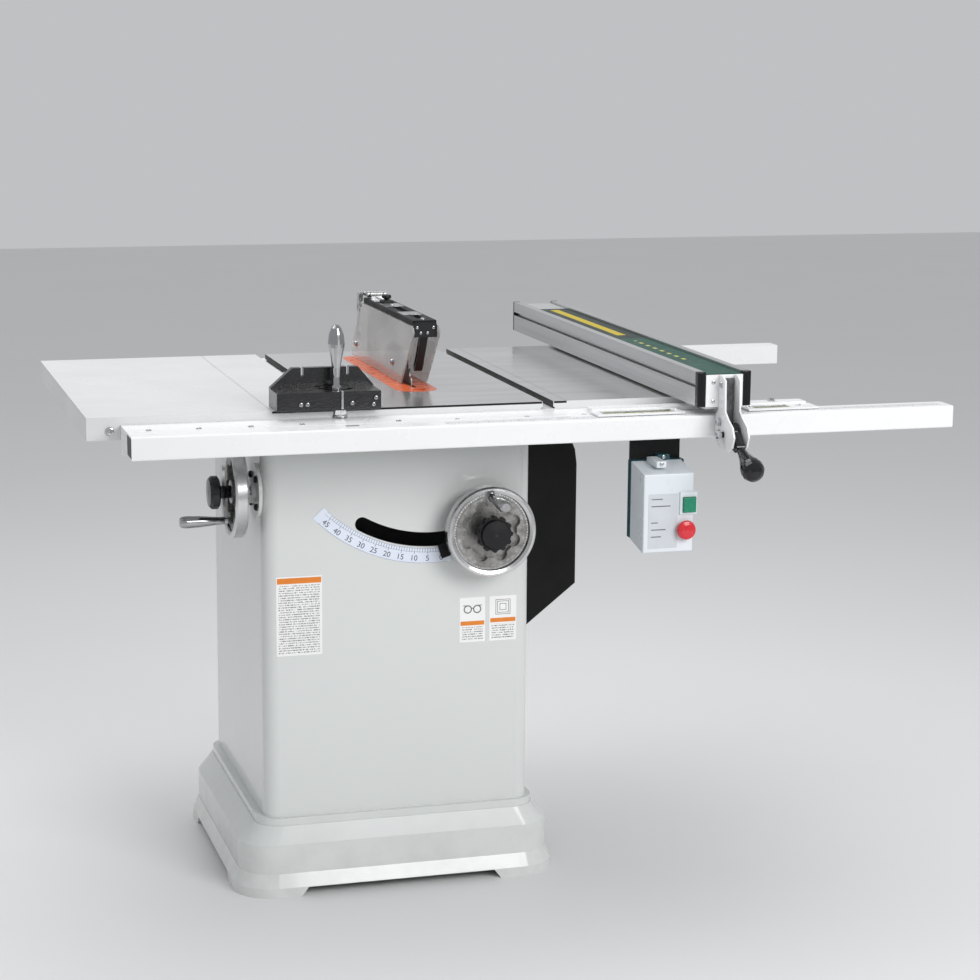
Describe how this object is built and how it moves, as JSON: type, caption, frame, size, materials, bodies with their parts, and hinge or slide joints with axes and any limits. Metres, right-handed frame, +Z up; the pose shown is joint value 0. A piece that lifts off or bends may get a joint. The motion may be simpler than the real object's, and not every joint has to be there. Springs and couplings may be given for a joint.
{
  "type": "table saw",
  "caption": "Cabinet table saw with tilting 10 in blade, cast top and wings, rip fence on front and rear rails, mitre gauge, blade guard, two handwheels and push-button switch.",
  "frame": {"origin": "centre of the cabinet's footprint on the floor", "axes": "+X right along the rails, +Y from the operator to the back, +Z up"},
  "size_m": [1.489, 1.1876, 1.0034],
  "materials": {
    "grey_enamel": "gloss",
    "cast_table": "polished",
    "white_wing": "satin",
    "bare_iron": "machined",
    "steel": "satin",
    "bright": "polished",
    "orange": "satin",
    "rail_white": "satin",
    "alu": "satin",
    "black_paint": "matte",
    "black_gloss": "gloss",
    "black_plastic": "matte",
    "white_plastic": "satin",
    "teal_plastic": "satin",
    "red_button": "gloss",
    "green_button": "gloss",
    "shield_clear": "satin",
    "motor_grey": "satin",
    "belt_rubber": "matte",
    "scale_plate": "satin"
  },
  "bodies": {
    "stand": {"base_plinth": "grey_enamel", "cabinet_shell": "grey_enamel", "stand_bolts": "steel", "dust_port": "black_plastic", "dust_chute": "steel", "table_main": "cast_table", "wing_left": "white_wing", "wing_right": "cast_table", "throat_insert": "orange", "rail_front_tube": "rail_white", "rail_front_angle": "rail_white", "rail_rear": "rail_white", "tilt_scale": "scale_plate", "tilt_flange": "bright", "trunnions": "bare_iron", "switch_bracket": "black_paint", "switch_back": "teal_plastic", "switch_cover": "white_plastic"},
    "motor_door": {"motor_cover": "black_paint"},
    "tilt_carriage": {"cradle": "bare_iron", "tilt_gear": "bare_iron", "pivot_pin": "steel", "tilt_pointer": "orange", "splitter": "steel", "guard_beam": "alu", "guard_nose": "black_plastic", "guard_arm": "steel", "guard_yoke": "black_plastic"},
    "left_shield": {"shield_left": "shield_clear"},
    "right_shield": {"shield_right": "shield_clear"},
    "arbor_carrier": {"arbor_arm": "bare_iron", "arbor_bearings": "steel", "belts": "belt_rubber", "motor_body": "motor_grey"},
    "arbor": {"arbor_shaft": "steel", "arbor_pulley": "bare_iron", "arbor_nut": "steel", "saw_blade": "steel"},
    "rotor": {"motor_rotor": "steel"},
    "raise_wheel": {"elevation_shaft": "steel", "handwheel_front": "bright"},
    "raise_grip": {"grip_front": "black_gloss"},
    "raise_lock": {"lock_knob_front": "black_plastic"},
    "tilt_wheel": {"tilt_shaft": "steel", "handwheel_left": "bright"},
    "tilt_grip": {"grip_left": "bright"},
    "tilt_lock": {"lock_knob_left": "black_gloss"},
    "mitre_slider": {"mitre_bar": "steel"},
    "mitre_gauge": {"mitre_head": "black_gloss"},
    "mitre_clamp": {"mitre_handle": "bright"},
    "fence": {"fence_beam": "alu", "fence_faces": "alu", "fence_square": "black_paint", "fence_cursors": "alu", "fence_bracket": "rail_white"},
    "cam_lever": {"fence_lever": "black_gloss", "lever_knob": "black_gloss"},
    "start": {"start_button": "green_button"},
    "stop": {"stop_button": "red_button"}
  },
  "joints": [
    {"name": "tilt", "type": "hinge", "parent": "stand", "child": "tilt_carriage", "pos_m": [0.057, 0, 0.8636], "axis": [0, 1, 0], "range_deg": [0, 45]},
    {"name": "blade_raise", "type": "hinge", "parent": "tilt_carriage", "child": "arbor_carrier", "pos_m": [0.057, -0.114, 0.765], "axis": [1, 0, 0], "range_deg": [-32.5, 7]},
    {"name": "blade_spin", "type": "hinge", "parent": "arbor_carrier", "child": "arbor", "pos_m": [0.057, 0, 0.8016], "axis": [1, 0, 0], "continuous": true},
    {"name": "motor_spin", "type": "hinge", "parent": "arbor_carrier", "child": "rotor", "pos_m": [0.2, 0.03, 0.693], "axis": [1, 0, 0], "continuous": true},
    {"name": "raise_wheel_turn", "type": "hinge", "parent": "tilt_carriage", "child": "raise_wheel", "pos_m": [0.1507, -0.2, 0.634], "axis": [0, 1, 0], "range_deg": [-210, 975]},
    {"name": "raise_grip_spin", "type": "hinge", "parent": "raise_wheel", "child": "raise_grip", "pos_m": [0.1507, -0.33, 0.693], "axis": [0, 1, 0], "continuous": true},
    {"name": "raise_lock_turn", "type": "hinge", "parent": "raise_wheel", "child": "raise_lock", "pos_m": [0.1507, -0.31, 0.634], "axis": [0, -1, 0], "range_deg": [0, 720]},
    {"name": "tilt_wheel_turn", "type": "hinge", "parent": "stand", "child": "tilt_wheel", "pos_m": [-0.1, -0.195, 0.706], "axis": [1, 0, 0], "range_deg": [0, 1125]},
    {"name": "tilt_grip_spin", "type": "hinge", "parent": "tilt_wheel", "child": "tilt_grip", "pos_m": [-0.34, -0.17187, 0.65172], "axis": [1, 0, 0], "continuous": true},
    {"name": "tilt_lock_turn", "type": "hinge", "parent": "tilt_wheel", "child": "tilt_lock", "pos_m": [-0.31, -0.195, 0.706], "axis": [-1, 0, 0], "range_deg": [0, 720]},
    {"name": "left_shield_lift", "type": "slide", "parent": "tilt_carriage", "child": "left_shield", "axis": [0, -0.548, 0.8365], "range_m": [0, 0.045]},
    {"name": "right_shield_lift", "type": "slide", "parent": "tilt_carriage", "child": "right_shield", "axis": [0, -0.548, 0.8365], "range_m": [0, 0.0445]},
    {"name": "motor_door_swing", "type": "hinge", "parent": "stand", "child": "motor_door", "pos_m": [0.239, 0.152, 0.6], "axis": [0, 0, 1], "range_deg": [0, 90]},
    {"name": "fence_slide", "type": "slide", "parent": "stand", "child": "fence", "axis": [1, 0, 0], "range_m": [-0.24, 0.215]},
    {"name": "cam_lever_lift", "type": "hinge", "parent": "fence", "child": "cam_lever", "pos_m": [0.5055, -0.494, 0.823], "axis": [-1, 0, 0], "range_deg": [0, 55]},
    {"name": "mitre_slide", "type": "slide", "parent": "stand", "child": "mitre_slider", "axis": [0, 1, 0], "range_m": [0, 0.4]},
    {"name": "mitre_swivel", "type": "hinge", "parent": "mitre_slider", "child": "mitre_gauge", "pos_m": [-0.124, -0.296, 0.88], "axis": [0, 0, 1], "range_deg": [-60, 60]},
    {"name": "mitre_clamp_turn", "type": "hinge", "parent": "mitre_slider", "child": "mitre_clamp", "pos_m": [-0.1285, -0.325, 0.9], "axis": [0, 0, 1], "range_deg": [0, 360]},
    {"name": "start_press", "type": "slide", "parent": "stand", "child": "start", "axis": [0, 1, 0], "range_m": [0, 0.003], "stiffness_N_per_m": 400},
    {"name": "stop_press", "type": "slide", "parent": "stand", "child": "stop", "axis": [0, 1, 0], "range_m": [0, 0.004], "stiffness_N_per_m": 400}
  ],
  "couplings": [
    {"joint": "motor_spin", "follows": "blade_spin", "ratio": 0.8345},
    {"joint": "raise_wheel_turn", "follows": "blade_raise", "ratio": -30},
    {"joint": "tilt_wheel_turn", "follows": "tilt", "ratio": 25},
    {"joint": "right_shield_lift", "follows": "tilt", "m_per_rad": 0.055}
  ]
}
